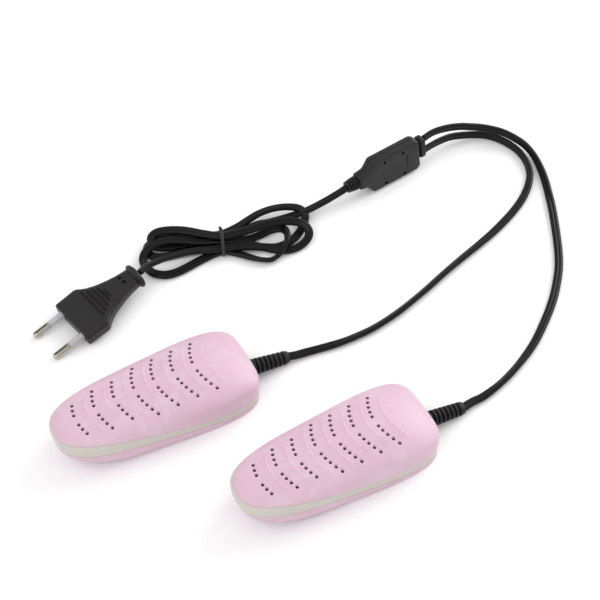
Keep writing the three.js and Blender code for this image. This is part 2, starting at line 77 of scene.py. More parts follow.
def material(name, color, roughness, metallic=0.0, grain=0.0, grain_scale=900.0,
             tint=0.06, coat=0.0, specular=0.5, mottle=60.0, pearl=None):
    """A finish with a slow drift of tone, a drift of gloss, a fine grain and pale clouds."""
    made = bpy.data.materials.new(name)
    made.use_nodes = True
    tree = made.node_tree
    shader = tree.nodes["Principled BSDF"]
    place = tree.nodes.new("ShaderNodeTexCoord")
    drift = noise(tree, place, mottle, 4)
    tone = tree.nodes.new("ShaderNodeValToRGB")
    for stop, shade in zip(tone.color_ramp.elements, (1 - tint, 1 + tint)):
        stop.color = (*(min(1.0, c * shade) for c in color), 1)
    tone.color_ramp.elements[0].position = 0.3
    tone.color_ramp.elements[1].position = 0.7
    tree.links.new(drift.outputs["Fac"], tone.inputs["Fac"])
    tree.links.new(tone.outputs["Color"], shader.inputs["Base Color"])
    if pearl:
        cloud = noise(tree, place, 95, 3, 0.8)
        amount = tree.nodes.new("ShaderNodeMapRange")
        amount.inputs["From Min"].default_value = 0.52
        amount.inputs["From Max"].default_value = 0.72
        amount.inputs["To Max"].default_value = 0.5
        tree.links.new(cloud.outputs["Fac"], amount.inputs["Value"])
        blend = tree.nodes.new("ShaderNodeMix")
        blend.data_type = "RGBA"
        tone_in, pearl_in, mixed = blend.inputs[6], blend.inputs[7], blend.outputs[2]
        pearl_in.default_value = (*pearl, 1)
        tree.links.new(amount.outputs["Result"], blend.inputs["Factor"])
        tree.links.new(tone.outputs["Color"], tone_in)
        tree.links.new(mixed, shader.inputs["Base Color"])
    gloss = tree.nodes.new("ShaderNodeMapRange")
    gloss.inputs["To Min"].default_value = roughness * 0.9
    gloss.inputs["To Max"].default_value = roughness * 1.12
    tree.links.new(drift.outputs["Fac"], gloss.inputs["Value"])
    tree.links.new(gloss.outputs["Result"], shader.inputs["Roughness"])
    shader.inputs["Metallic"].default_value = metallic
    shader.inputs["Specular IOR Level"].default_value = specular
    shader.inputs["Coat Weight"].default_value = coat
    shader.inputs["Coat Roughness"].default_value = 0.18
    if grain:
        fine = noise(tree, place, grain_scale, 3)
        bump = tree.nodes.new("ShaderNodeBump")
        bump.inputs["Strength"].default_value = grain
        bump.inputs["Distance"].default_value = 0.0002
        tree.links.new(fine.outputs["Fac"], bump.inputs["Height"])
        tree.links.new(bump.outputs["Normal"], shader.inputs["Normal"])
    return made


FINISHES = {
    "pink_shell": material("pink_shell", (0.620, 0.420, 0.514), 0.46, grain=0.03, tint=0.03,
                           coat=0.05, mottle=70, pearl=(0.665, 0.530, 0.620)),
    "cream_band": material("cream_band", (0.545, 0.505, 0.460), 0.45, grain=0.04, tint=0.03),
    "black_housing": material("black_housing", (0.0100, 0.0086, 0.0094), 0.42, grain=0.12,
                              grain_scale=1500, specular=0.34),
    "black_rubber": material("black_rubber", (0.0060, 0.0058, 0.0060), 0.5, grain=0.1,
                             specular=0.3),
    "lead_jacket": material("lead_jacket", (0.0035, 0.0032, 0.0034), 0.30, grain=0.05, tint=0.1,
                            specular=0.2),
    "tie_wire": material("tie_wire", (0.014, 0.012, 0.014), 0.35, grain=0.1, specular=0.45),
    "nickel_pin": material("nickel_pin", (0.47, 0.455, 0.39), 0.22, metallic=1, grain=0.02),
    "pin_sleeve": material("pin_sleeve", (0.42, 0.42, 0.43), 0.42, grain=0.03),
    "heat_plate": material("heat_plate", (0.70, 0.71, 0.72), 0.38, metallic=1, grain=0.15),
    "ceramic": material("ceramic", (0.68, 0.60, 0.48), 0.8, grain=0.2),
    "mica": material("mica", (0.42, 0.27, 0.12), 0.6, grain=0.2, tint=0.15),
    "fuse_can": material("fuse_can", (0.66, 0.67, 0.68), 0.3, metallic=1, grain=0.05),
    "white_nylon": material("white_nylon", (0.80, 0.79, 0.75), 0.5, grain=0.05),
    "screw_steel": material("screw_steel", (0.60, 0.61, 0.62), 0.3, metallic=1, grain=0.05),
}

# ---- Meshes -------------------------------------------------------------------------

WELD = 1e-5                            # points closer than this become one


def circle(sides):
    return np.linspace(0, 2 * math.pi, sides, endpoint=False)


def new_object(name, vertices, faces, sharp=38):
    mesh = bpy.data.meshes.new(name)
    mesh.from_pydata([tuple(map(float, v)) for v in vertices], [], faces)
    mesh.validate()
    work = bmesh.new()
    work.from_mesh(mesh)
    bmesh.ops.remove_doubles(work, verts=work.verts, dist=WELD)
    bmesh.ops.recalc_face_normals(work, faces=work.faces)
    work.to_mesh(mesh)
    work.free()
    made = bpy.data.objects.new(name, mesh)
    bpy.context.scene.collection.objects.link(made)
    soften(made, sharp)
    return made


def soften(made, sharp=38):
    mesh = made.data
    mesh.polygons.foreach_set("use_smooth", [True] * len(mesh.polygons))
    mesh.set_sharp_from_angle(angle=math.radians(sharp))


def combine(made, other, operation):
    """A boolean of two objects; the second is used up."""
    change = made.modifiers.new("cut", "BOOLEAN")
    change.object = other
    change.operation = operation
    change.solver = "EXACT"
    graph = bpy.context.evaluated_depsgraph_get()
    result = bpy.data.meshes.new_from_object(made.evaluated_get(graph))
    made.modifiers.clear()
    made.data = result
    bpy.data.objects.remove(other)
    return made


def placed(made, matrix):
    """Into the row frame, in metres."""
    made.data.transform(Matrix.Scale(MM, 4) @ matrix)
    return made


def finish(made, slot, *nodes):
    """The slot's finish, the body and the CAD nodes that the piece stands for."""
    made.data.materials.clear()
    made.data.materials.append(FINISHES[slot])
    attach(made, "root")
    if nodes:
        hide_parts(*nodes)
    return made


def grid_faces(rings, count, wrap_rings=False):
    """Quads between closed rings of count points each."""
    faces = []
    for r in range(rings if wrap_rings else rings - 1):
        a, b = r * count, ((r + 1) % rings) * count
        for i in range(count):
            j = (i + 1) % count
            faces.append((a + i, a + j, b + j, b + i))
    return faces


def loft(name, rings, closed=False, cap=True, sharp=38):
    """A skin over closed rings, each with the same number of points."""
    rings = [np.asarray(ring, float) for ring in rings]
    count = len(rings[0])
    faces = grid_faces(len(rings), count, closed)
    vertices = np.vstack(rings)
    if cap and not closed:
        faces.append(tuple(range(count - 1, -1, -1)))
        last = (len(rings) - 1) * count
        faces.append(tuple(last + i for i in range(count)))
    return new_object(name, vertices, faces, sharp)


def level_rings(profile, sides, y=0.0):
    """Rings of a profile of (along X, radius) turned about a line along X."""
    turns = circle(sides)
    return [np.column_stack([np.full(sides, x), y + r * np.cos(turns), r * np.sin(turns)])
            for x, r in profile]


def upright_rings(profile, x, y, sides=24):
    """Rings of a profile of (height, radius) turned about a vertical line."""
    turns = circle(sides)
    return [np.column_stack([x + r * np.cos(turns), y + r * np.sin(turns),
                             np.full(sides, z)]) for z, r in profile]


def turned(name, profile, sides=48, sharp=38):
    """A profile of (along X, radius) turned about X. The ends are closed."""
    return loft(name, level_rings(profile, sides), sharp=sharp)


def rounded(points, radius, steps=6):
    """A polygon with each corner rounded. A point may carry its own radius."""
    result = []
    count = len(points)
    for i, point in enumerate(points):
        own = point[2] if len(point) > 2 else radius
        here = np.array(point[:2], float)
        before = np.array(points[i - 1][:2], float) - here
        after = np.array(points[(i + 1) % count][:2], float) - here
        lb, la = np.linalg.norm(before), np.linalg.norm(after)
        before, after = before / lb, after / la
        half = math.acos(np.clip(before @ after, -1, 1)) / 2
        reach = min(own / math.tan(half), lb * 0.45, la * 0.45)
        size = reach * math.tan(half)
        bisector = before + after
        middle = here + bisector / np.linalg.norm(bisector) * (size / math.sin(half))
        start, end = here + before * reach - middle, here + after * reach - middle
        a0 = math.atan2(start[1], start[0])
        sweep = (math.atan2(end[1], end[0]) - a0 + math.pi) % (2 * math.pi) - math.pi
        for k in range(steps + 1):
            a = a0 + sweep * k / steps
            result.append(middle + size * np.array([math.cos(a), math.sin(a)]))
    return np.array(result)


def inward(border, distance):
    """The border moved inward along its own normals."""
    ahead = np.roll(border, -1, 0) - border
    behind = border - np.roll(border, 1, 0)
    ahead /= np.linalg.norm(ahead, axis=1)[:, None] + 1e-12
    behind /= np.linalg.norm(behind, axis=1)[:, None] + 1e-12
    tangent = ahead + behind
    tangent /= np.linalg.norm(tangent, axis=1)[:, None] + 1e-12
    normal = np.column_stack([-tangent[:, 1], tangent[:, 0]])
    area = np.sum(border[:, 0] * np.roll(border[:, 1], -1) -
                  np.roll(border[:, 0], -1) * border[:, 1])
    return border + normal * distance * (1 if area > 0 else -1)


def slab(name, border, y0, y1, bevel0, bevel1, steps=4, sharp=38):
    """A border in the x-z plane, thick along Y, with each rim rounded over."""
    side = [(y0 + bevel0 * (1 - math.cos(math.pi / 2 * k / steps)),
             bevel0 * (1 - math.sin(math.pi / 2 * k / steps))) for k in range(steps + 1)]
    side += [(y1 - bevel1 * (1 - math.sin(math.pi / 2 * k / steps)),
              bevel1 * (1 - math.cos(math.pi / 2 * k / steps))) for k in range(steps + 1)]
    made = []
    for y, distance in side:
        moved = inward(border, distance)
        made.append(np.column_stack([moved[:, 0], np.full(len(moved), y), moved[:, 1]]))
    return loft(name, made, sharp=sharp)


def box(x0, x1, y0, y1, z0, z1):
    """A plain block for cutting."""
    corners = [(x, y, z) for x in (x0, x1) for y in (y0, y1) for z in (z0, z1)]
    faces = [(0, 1, 3, 2), (4, 6, 7, 5), (0, 4, 5, 1), (2, 3, 7, 6), (0, 2, 6, 4), (1, 5, 7, 3)]
    return new_object("cutter", corners, faces)


def several(name, lofts, sharp=38):
    """Separate closed lofts in one object."""
    vertices, faces = [], []
    for rings in lofts:
        start, count = len(vertices), len(rings[0])
        vertices.extend(map(tuple, np.vstack(rings)))
        faces += [tuple(start + i for i in face) for face in grid_faces(len(rings), count)]
        faces.append(tuple(start + i for i in range(count - 1, -1, -1)))
        last = start + (len(rings) - 1) * count
        faces.append(tuple(last + i for i in range(count)))
    return new_object(name, vertices, faces, sharp)


# ---- Leads --------------------------------------------------------------------------

LEAD_WIDTH = 4.9
LEAD_THICKNESS = 2.8
LEAD_STEP = 1.3                        # spacing of the rings along a lead
LEAD_GROOVE = 0.28


def catmull(points, spacing):
    """A smooth line through the points, as rows of the same width."""
    points = np.asarray(points, float)
    padded = np.vstack([2 * points[0] - points[1], points, 2 * points[-1] - points[-2]])
    rows = []
    for i in range(1, len(padded) - 2):
        p0, p1, p2, p3 = padded[i - 1:i + 3]
        count = max(2, int(np.linalg.norm((p2 - p1)[:3]) / spacing) + 1)
        for t in np.arange(count) / count:
            rows.append(0.5 * (2 * p1 + (p2 - p0) * t + (2 * p0 - 5 * p1 + 4 * p2 - p3) * t ** 2
                               + (3 * p1 - p0 - 3 * p2 + p3) * t ** 3))
    rows.append(padded[-2])
    return np.array(rows)


def lead_section(arc=9):
    """A flat two-core lead: round edges and a shallow groove down each broad side."""
    radius = LEAD_THICKNESS / 2
    reach = LEAD_WIDTH / 2 - radius
    points = []
    for side in (1, -1):
        for k in range(arc):
            a = math.pi / 2 * (2 * k / (arc - 1) - 1) + (0 if side > 0 else math.pi)
            points.append((side * reach + radius * math.cos(a), radius * math.sin(a)))
        for u in (0.6, 0.3, 0.0, -0.3, -0.6):
            dip = LEAD_GROOVE * math.exp(-(u / 0.28) ** 2)
            points.append((side * u * reach, side * (radius - dip)))
    return np.array(points)


def tube(name, line, rolls, section):
    """A section carried along a line; the roll is from level, in degrees."""
    tangent = np.gradient(line, axis=0)
    tangent /= np.linalg.norm(tangent, axis=1)[:, None]
    left = np.column_stack([-tangent[:, 1], tangent[:, 0], np.zeros(len(line))])
    left /= np.linalg.norm(left, axis=1)[:, None]
    up = np.cross(tangent, left)
    turn = np.radians(rolls)[:, None]
    broad = left * np.cos(turn) + up * np.sin(turn)
    thin = -left * np.sin(turn) + up * np.cos(turn)
    rings = [p + section[:, :1] * b + section[:, 1:] * t
             for p, b, t in zip(line, broad, thin)]
    return loft(name, rings, sharp=60)


def lead(name, route, rolls):
    """The lead, its line and its length, from a route in metres with a roll at each point.

    The line is lifted where the rolled lead would go under the floor.
    """
    rows = catmull(np.column_stack([np.array(route) * METRE, rolls]), LEAD_STEP)
    flat = LEAD_WIDTH / 2 - LEAD_THICKNESS / 2
    lowest = LEAD_THICKNESS / 2 + flat * np.abs(np.sin(np.radians(rows[:, 3])))
    rows[:, 2] = np.maximum(rows[:, 2], lowest)
    line = rows[:, :3]
    made = placed(tube(name, line, rows[:, 3], lead_section()), Matrix())
    length = float(np.linalg.norm(np.diff(line, axis=0), axis=1).sum()) * MM
    return made, (line * MM).tolist(), length


# Routes of the two branch leads in metres, from the boot to the joint, with a roll in
# degrees at each point: 0 is flat on the floor and -90 on edge.
LEFT_ROUTE = [
    (0.0226, 0.0505, 0.0033), (0.0268, 0.0518, 0.0028), (0.0316, 0.0539, 0.0022),
    (0.0386, 0.0565, 0.0018), (0.0462, 0.0590, 0.0020), (0.0533, 0.0618, 0.0021),
    (0.0602, 0.0653, 0.0021), (0.0673, 0.0692, 0.0022), (0.0750, 0.0747, 0.0022),
    (0.0832, 0.0814, 0.0023), (0.0915, 0.0894, 0.0022), (0.1001, 0.0981, 0.0022),
    (0.1093, 0.1081, 0.0022), (0.1194, 0.1185, 0.0020), (0.1295, 0.1285, 0.0019),
    (0.1385, 0.1378, 0.0018), (0.1452, 0.1456, 0.0018), (0.1521, 0.1546, 0.0018),
    (0.1577, 0.1636, 0.0021), (0.1614, 0.1726, 0.0024), (0.1631, 0.1816, 0.0025),
    (0.1620, 0.1899, 0.0025), (0.1591, 0.1971, 0.0026), (0.1545, 0.2031, 0.0026),
    (0.1490, 0.2075, 0.0027), (0.1428, 0.2107, 0.0028), (0.1364, 0.2119, 0.0030),
    (0.1299, 0.2116, 0.0034), (0.1239, 0.2103, 0.0042), (0.1180, 0.2082, 0.0053),
    (0.1120, 0.2043, 0.0065), (0.1065, 0.1997, 0.0077), (0.1014, 0.1948, 0.0088),
]
LEFT_ROLLS = [
    3, 3, 2, -9, -12, -27, -32, -36, -42, -42, -48, -45, -45, -38,
    -31, -20, -14, -15, -17, -35, -54, -76, -80, -80, -80, -80, -81, -82,
    -84, -86, -88, -90, -90,
]
RIGHT_ROUTE = [
    (0.1154, 0.0176, 0.0033), (0.1204, 0.0215, 0.0027), (0.1253, 0.0245, 0.0022),
    (0.1301, 0.0282, 0.0022), (0.1353, 0.0329, 0.0022), (0.1408, 0.0387, 0.0022),
    (0.1467, 0.0461, 0.0020), (0.1522, 0.0539, 0.0018), (0.1573, 0.0625, 0.0017),
    (0.1616, 0.0716, 0.0016), (0.1659, 0.0817, 0.0015), (0.1695, 0.0918, 0.0015),
    (0.1722, 0.1021, 0.0015), (0.1742, 0.1126, 0.0015), (0.1750, 0.1233, 0.0015),
    (0.1750, 0.1348, 0.0015), (0.1746, 0.1465, 0.0016), (0.1739, 0.1573, 0.0021),
    (0.1728, 0.1674, 0.0023), (0.1715, 0.1773, 0.0025), (0.1693, 0.1873, 0.0027),
    (0.1661, 0.1961, 0.0032), (0.1613, 0.2026, 0.0046), (0.1551, 0.2067, 0.0063),
    (0.1487, 0.2093, 0.0080), (0.1421, 0.2103, 0.0096), (0.1356, 0.2103, 0.0112),
    (0.1290, 0.2094, 0.0128), (0.1238, 0.2084, 0.0142), (0.1173, 0.2065, 0.0154),
    (0.1113, 0.2039, 0.0164), (0.1060, 0.2008, 0.0170), (0.1006, 0.1960, 0.0172),
]
RIGHT_ROLLS = [
    -5, -5, -15, -25, -41, -41, -41, -28, -19, -13, -4, 5, 5, 5,
    0, 0, -1, -2, -36, -44, -61, -78, -80, -80, -80, -80, -80, -82,
    -84, -86, -88, -90, -90,
]

# ---- Tied hank of the mains lead ----------------------------------------------------

TIE = Matrix.Translation((-15.4, 129.3, 0)) @ Matrix.Rotation(math.radians(13), 4, "Z")
TIE_LEAN = 0.1                         # how far the tie slants across the hank
TIE_SECTION = [(-0.95, -0.4), (0.95, -0.4), (0.95, 0.4), (-0.95, 0.4)]
TIE_LOOP = [(-5.0, 0.5), (0, 0.45), (5.0, 0.5), (7.3, 1.2), (8.3, 3.6), (8.0, 6.2),
            (5.4, 9.0), (2.6, 10.0), (-0.6, 10.1), (-4.0, 9.2), (-7.4, 7.8), (-8.7, 5.4),
            (-8.6, 2.6), (-7.4, 1.0)]
TIE_END_RADIUS = 0.36

# The lead's run from the plug to the joint: metres outside the hank, with one roll for
# each run. In the hank the points are in the tie's own frame, +X along the hank: x, y, z
# and roll, in millimetres and degrees.
PLUG_ROLL = -30
JOINT_ROLL = -15
PLUG_RUN = [
    (-0.0600, 0.1008, 0.0123), (-0.0582, 0.1034, 0.0121), (-0.0560, 0.1060, 0.0118),
    (-0.0514, 0.1094, 0.0110),
]
HANK = [
    (-34.7, -9.2, 10.2, -25), (-29.9, -7.8, 9.2, -20), (-22.5, -6.0, 8.0, -15),
    (-15.6, -5.3, 7.0, -10), (-7.5, -5.2, 5.7, -5), (0, -5.15, 5.2, 0),
    (10, -5.9, 4.5, 0), (20, -7.2, 2.8, 0), (30, -8.5, 1.6, 0), (38, -6.3, 1.6, 0),
    (44, -1.8, 1.6, 0), (48.5, 4, 2.4, 0), (50.3, 9.3, 4.2, 0), (47.8, 13.4, 5.2, 4),
    (41.6, 15.6, 5.7, 10), (33.1, 16, 6.0, 14), (24.2, 14.1, 6.0, 14),
    (16.3, 10.6, 5.6, 12), (10, 7.6, 5.3, 6), (0, 4.75, 5.2, 0),
    (-10, 6.7, 4.8, 0), (-20, 9.6, 3.7, 0), (-30, 11.5, 1.9, 0), (-37, 11.3, 1.6, 0),
    (-42, 7, 1.6, 0), (-41, 1.5, 1.6, 0), (-35, -1.0, 1.6, 0), (-25, -0.7, 1.6, 0),
    (-12, -0.2, 1.9, 0), (0, -0.2, 2.3, 0),
    (10, 0.3, 1.8, 0), (20, 1.3, 1.8, 0), (29, 2.9, 3.3, 10), (35.0, 1.2, 5.0, 35),
    (36.9, -4, 6.6, 60), (35.2, -10, 6.2, 66), (30.8, -15.0, 4.0, 60),
    (25.4, -17.4, 2.5, 56), (20.1, -16.3, 2.3, 50), (13.9, -12.9, 2.0, 35),
    (7.5, -8.6, 2.0, 12), (0, -5.15, 2.3, 0),
    (-6.9, -5.9, 1.8, -10), (-15.9, -9.2, 1.9, -18), (-24.2, -12.7, 2.1, -20),
    (-30.7, -14.5, 2.1, -20), (-36.4, -14.1, 1.9, -14), (-42.0, -10.9, 1.7, -6),
    (-45.4, -5.0, 2.2, 0), (-45.3, -0.5, 3.8, 0), (-41.7, 3.4, 5.3, 0),
    (-35.7, 5.6, 5.8, -4), (-28.7, 6.0, 5.6, -8), (-20.7, 4.4, 5.3, -8),
    (-10.7, 1.6, 5.2, -4), (0, -0.2, 5.2, 0),
    (10, -2.2, 3.8, 0), (20, -6.2, 2.0, 0), (28, -10.0, 1.6, 0), (35, -12.2, 1.6, 0),
    (42.2, -11.4, 2.0, 0), (47.9, -8, 3.5, 0), (49.6, -3.8, 5.2, -6),
    (46.7, 0.4, 7.2, -16), (40.2, 2.8, 8.4, -26), (31.8, 3.5, 8.7, -30),
    (24.7, 3.1, 8.6, -30), (17.2, 1.9, 8.4, -28), (9.0, 1.0, 8.2, -18), (0, 1.0, 8.1, -8),
    (-9.9, 5.0, 8.0, -20), (-16.3, 8.3, 7.9, -28), (-22.8, 10.9, 7.8, -30),
    (-29.5, 12.4, 7.6, -28), (-35.1, 12.6, 7.1, -20), (-38.6, 10.9, 5.8, -8),
    (-38.6, 8, 3.9, 0), (-35.4, 5.6, 2.2, 0), (-29, 4.6, 1.6, 0), (-20, 4.6, 1.6, 0),
    (-10, 4.7, 1.9, 0), (0, 4.75, 2.3, 0),
    (10, 6.9, 1.7, 0), (22.5, 9.8, 1.6, 0), (30, 9.6, 2.2, 0), (40.4, 10.4, 2.8, -4),
]
JOINT_RUN = [
    (0.0319, 0.1517, 0.0046), (0.0363, 0.1538, 0.0052), (0.0403, 0.1557, 0.0062),
    (0.0445, 0.1577, 0.0074), (0.0486, 0.1596, 0.0089), (0.0521, 0.1612, 0.0103),
    (0.0553, 0.1633, 0.0111),
]


def mains_route():
    """The route and rolls from the joint to the plug."""
    coil = [TIE @ Vector(row[:3]) * MM for row in HANK]
    route = PLUG_RUN + [tuple(p) for p in coil] + JOINT_RUN
    rolls = [PLUG_ROLL] * len(PLUG_RUN) + [row[3] for row in HANK]
    rolls += [JOINT_ROLL] * len(JOINT_RUN)
    return route[::-1], [-r for r in rolls[::-1]]


def twist_tie():
    """A thin wire round the waist of the hank, with its twisted ends lying at the top."""
    closed = catmull(TIE_LOOP + TIE_LOOP[:1], 0.5)[:-1]
    ahead = np.roll(closed, -1, 0) - np.roll(closed, 1, 0)
    ahead /= np.linalg.norm(ahead, axis=1)[:, None]
    out = np.column_stack([ahead[:, 1], -ahead[:, 0]])
    corners = rounded(TIE_SECTION, 0.3, 3)
    vertices, faces = [], []
    for (y, z), (oy, oz) in zip(closed, out):
        vertices += [(TIE_LEAN * y + a, y + b * oy, z + b * oz) for a, b in corners]
    faces += grid_faces(len(closed), len(corners), wrap_rings=True)
    turns = np.linspace(0, 3 * math.pi, 50)
    round_wire = circle(10)
    for phase in (0, math.pi):         # two strands wound round each other
        spine = np.column_stack([
            0.6 + 0.42 * np.cos(turns + phase) - 0.05 * turns,
            4.6 + 0.16 * turns + 0.3 * np.sin(turns + phase),
            9.9 - 0.02 * turns + 0.42 * np.sin(turns + phase)])
        tangent = np.gradient(spine, axis=0)
        tangent /= np.linalg.norm(tangent, axis=1)[:, None]
        side = np.cross(tangent, [0, 0, 1.0])
        side /= np.linalg.norm(side, axis=1)[:, None]
        up = np.cross(side, tangent)
        start = len(vertices)
        for p, s, u in zip(spine, side, up):
            vertices += [tuple(p + TIE_END_RADIUS * (math.cos(c) * s + math.sin(c) * u))
                         for c in round_wire]
        faces += [tuple(start + i for i in face)
                  for face in grid_faces(len(spine), len(round_wire))]
        faces.append(tuple(start + i for i in reversed(range(len(round_wire)))))
        faces.append(tuple(len(vertices) - len(round_wire) + i
                           for i in range(len(round_wire))))
    return placed(new_object("twist_tie_look", vertices, faces, 50), TIE)


# ---- Hull of one dryer --------------------------------------------------------------

# Plan: two superellipses that meet at MIDDLE, the toe towards -X, the heel towards +X.
MIDDLE = 2.56
TOE_LENGTH = 50.0
HEEL_LENGTH = 62.2
HALF_WIDTH = 22.9
TOE_POWER = 2.89
HEEL_POWER = 4.8
TAPER = 0.002                          # the hull widens towards the heel, per mm
TOE_END = MIDDLE - TOE_LENGTH
HEEL_END = MIDDLE + HEEL_LENGTH

# Heights: the sole rises to the toe, the belt is the widest line, the dome is above it.
SOLE_RISE = 8.42
SOLE_POWER = 1.6
BELT_HEIGHT = 16.4
CROWN_HEIGHT = 28.5
CROWN_X = 24.6
DOME_TOE_POWER = 2.93
DOME_HEEL_POWER = 1.8
DOME_SIDE_POWER = 2.12
SIDE_POWER = 2.6                       # how round the side is from the sole to the belt
TUCK_HEEL = 0.54                       # the sole's edge is drawn in this far at the heel
TUCK_TOE = 12                          # and this much further at the toe

WALL = 1.8
FLOOR = 2.0
GAP = 0.3

# The trim band's edges in the side view: height at the heel, and climb to the toe.
BAND_LOW = (3.0, 12.6)
BAND_HIGH = (7.6, 15.2)
BAND_START = 62
BAND_RUN = 107
BAND_POWER = 2
BAND_INSET = 0.12

# Rows of vents, toe to heel: holes on each side of the middle, and reach of the crest.
ROW_HOLES = [3, 4, 4, 5, 5, 5, 5]
CREST_REACH = [11.7, 11.7, 14.9, 14.9, 14.9, 14.9, 14.0]
MIDDLE_ROW = 3
ROW_PITCH = 11.3
HOLE_PITCH = 3.18
ROW_BOW = 0.0207
VENT = [(-6, 0.92), (-0.22, 0.92), (0.03, 1.12), (1.2, 1.5)]
CREST_HEIGHT = 0.7
CREST_RUN = 6.6                        # a crest rises over this run from its row of vents
CREST_END = 6.9
CREST_FALL = 0.9
CREST_FADE = 3.4                       # length of a crest's tapered ends
LIP_HEIGHT = 0.2
LIP_PLACE = 6.7
LIP_WIDTH = 0.5


def quarter(value, power):
    """A quarter of a superellipse: 1 where the value is 0, and 0 where it is 1."""
    return np.maximum(0, 1 - np.abs(value) ** power) ** (1 / power)


def half_width(x, inset):
    toe = x < MIDDLE
    reach = np.where(toe, TOE_LENGTH, HEEL_LENGTH) - inset
    share = np.minimum(1, np.abs(x - MIDDLE) / reach)
    across = (HALF_WIDTH - inset) * (1 + TAPER * (x - MIDDLE))
    return across * np.where(toe, quarter(share, TOE_POWER), quarter(share, HEEL_POWER))


def sole_height(x):
    return SOLE_RISE * np.maximum(0, x / TOE_END) ** SOLE_POWER


def belt_height(x):
    return BELT_HEIGHT + sole_height(x) / 2


def dome_height(x, y, inset=0.0):
    to_toe = np.minimum(1, np.abs(CROWN_X - x) / (CROWN_X - TOE_END - inset))
    to_heel = np.minimum(1, np.abs(x - CROWN_X) / (HEEL_END - inset - CROWN_X))
    along = np.where(x < CROWN_X, quarter(to_toe, DOME_TOE_POWER),
                     quarter(to_heel, DOME_HEEL_POWER))
    width = np.maximum(half_width(x, inset), 1e-6)
    across = quarter(np.minimum(1, np.abs(y) / width), DOME_SIDE_POWER)
    belt = belt_height(x)
    return belt + (CROWN_HEIGHT - inset - belt) * along * across


def smooth(u):
    u = np.clip(u, 0, 1)
    return u * u * (3 - 2 * u)


def louvres(x, y):
    """Seven bowed scallops: each rises from a row of vents and drops on its heel side."""
    along = x - ROW_BOW * y * y
    total = np.zeros_like(along)
    for row, reach in enumerate(CREST_REACH):
        u = along - ROW_PITCH * (row - MIDDLE_ROW)
        rise = np.clip(u / CREST_RUN, 0, 1) ** 1.5
        fall = 1 - smooth((u - CREST_END) / CREST_FALL)
        lip = LIP_HEIGHT * np.exp(-((u - LIP_PLACE) / LIP_WIDTH) ** 2)
        ends = smooth((reach + 1 - np.abs(y)) / CREST_FADE)
        total += (CREST_HEIGHT * rise * fall + lip) * ends
    return total


def crown(x, y):
    return dome_height(x, y) + louvres(x, y)


def at(height, *place):
    """One of the hull's heights at one place."""
    return float(height(*(np.array(float(value)) for value in place)))


def outline(turns, inset):
    """The plan about MIDDLE, as angles and radii."""
    heel = np.cos(turns) > 0
    reach = np.where(heel, HEEL_LENGTH, TOE_LENGTH) - inset
    power = np.where(heel, HEEL_POWER, TOE_POWER)
    across = HALF_WIDTH - inset
    angle = np.arctan2(across * np.sin(turns), reach * np.cos(turns))
    total = np.abs(np.cos(angle) / reach) ** power + np.abs(np.sin(angle) / across) ** power
    return angle, total ** (-1 / power)


def plan(angle, radius):
    along = radius * np.cos(angle)
    return MIDDLE + along, radius * np.sin(angle) * (1 + TAPER * along)


def tuck(angle, radius):
    """How far the sole's edge is drawn in from the plan."""
    x, _ = plan(angle, radius)
    to_toe = (HEEL_END - x) / (HEEL_END - TOE_END)
    return TUCK_HEEL + TUCK_TOE * to_toe * to_toe


def hull_points(turns, level, inset, floor=0.0):
    """Level 0 is the edge of the sole, 1 the belt and 2 the crown."""
    angle, radius = outline(turns, inset)
    drawn = tuck(angle, radius) * (1 - quarter(1 - np.minimum(level, 1), SIDE_POWER))
    scale = np.cos(np.pi / 2 * np.clip(level - 1, 0, 1))
    x, y = plan(angle, (radius - drawn) * scale)
    bottom = sole_height(x) + floor
    side = bottom + np.minimum(level, 1) * (belt_height(x) - bottom)
    z = np.where(level > 1, dome_height(x, y, inset), side)
    if inset == 0:
        z = z + np.where(level > 1, louvres(x, y), 0)
    return np.column_stack([x, y, z])


def seam_level(turns, edge, shift, inset, floor=0.0):
    """The level at which the hull meets a seam curve of the side view."""
    base, climb = edge
    levels = np.linspace(0, 1.7, 341)
    heights = []
    for level in levels:
        points = hull_points(turns, np.full(len(turns), level), inset, floor)
        run = np.clip((BAND_START - points[:, 0]) / BAND_RUN, 0, 1)
        edge_height = climb * np.sin(np.pi / 2 * run) ** BAND_POWER
        heights.append(points[:, 2] - base - edge_height - shift)
    heights = np.array(heights)
    index = np.argmax(heights > 0, axis=0)
    column = np.arange(len(turns))
    low, high = heights[index - 1, column], heights[index, column]
    return levels[index - 1] + (levels[1] - levels[0]) * low / (low - high)


AROUND = 216
TURNS = circle(AROUND)
CHAMFER = 0.14


def spread(start, end, count, inset, floor=0.0):
    """Rings of the hull from one level to another; both may change round the hull."""
    start = np.broadcast_to(start, TURNS.shape)
    end = np.broadcast_to(end, TURNS.shape)
    return [hull_points(TURNS, start + (end - start) * k / count, inset, floor)
            for k in range(count + 1)]


def seam_ring(edge, shift, inset, floor=0.0):
    return hull_points(TURNS, seam_level(TURNS, edge, shift, inset, floor), inset, floor)


def capped(name, first, rings, last, sharp=38):
    """Rings closed by a point at each end."""
    vertices = np.vstack([first, *rings, last])
    faces = [tuple(1 + i for i in face) for face in grid_faces(len(rings), AROUND)]
    tail = 1 + (len(rings) - 1) * AROUND
    for i in range(AROUND):
        j = (i + 1) % AROUND
        faces.append((0, 1 + j, 1 + i))
        faces.append((len(vertices) - 1, tail + i, tail + j))
    return new_object(name, vertices, faces, sharp)


SEAM = 0.07                            # half the fine line between two shells
SCREWS = [(-18, 0), (46, 14), (46, -14)]
BORE = 1.5                             # radius of the screws' clearance
BOSS = 2.9
PAD = 4.2
PAD_HEIGHT = 2.0
HEAD_RECESS = [(-1, 3.1), (0, 3.1), (0.4, 2.7), (2.4, 2.7)]
HEAD_DEPTH = 0.9
NECK = 3.6                             # radius of the hole for the boot's neck


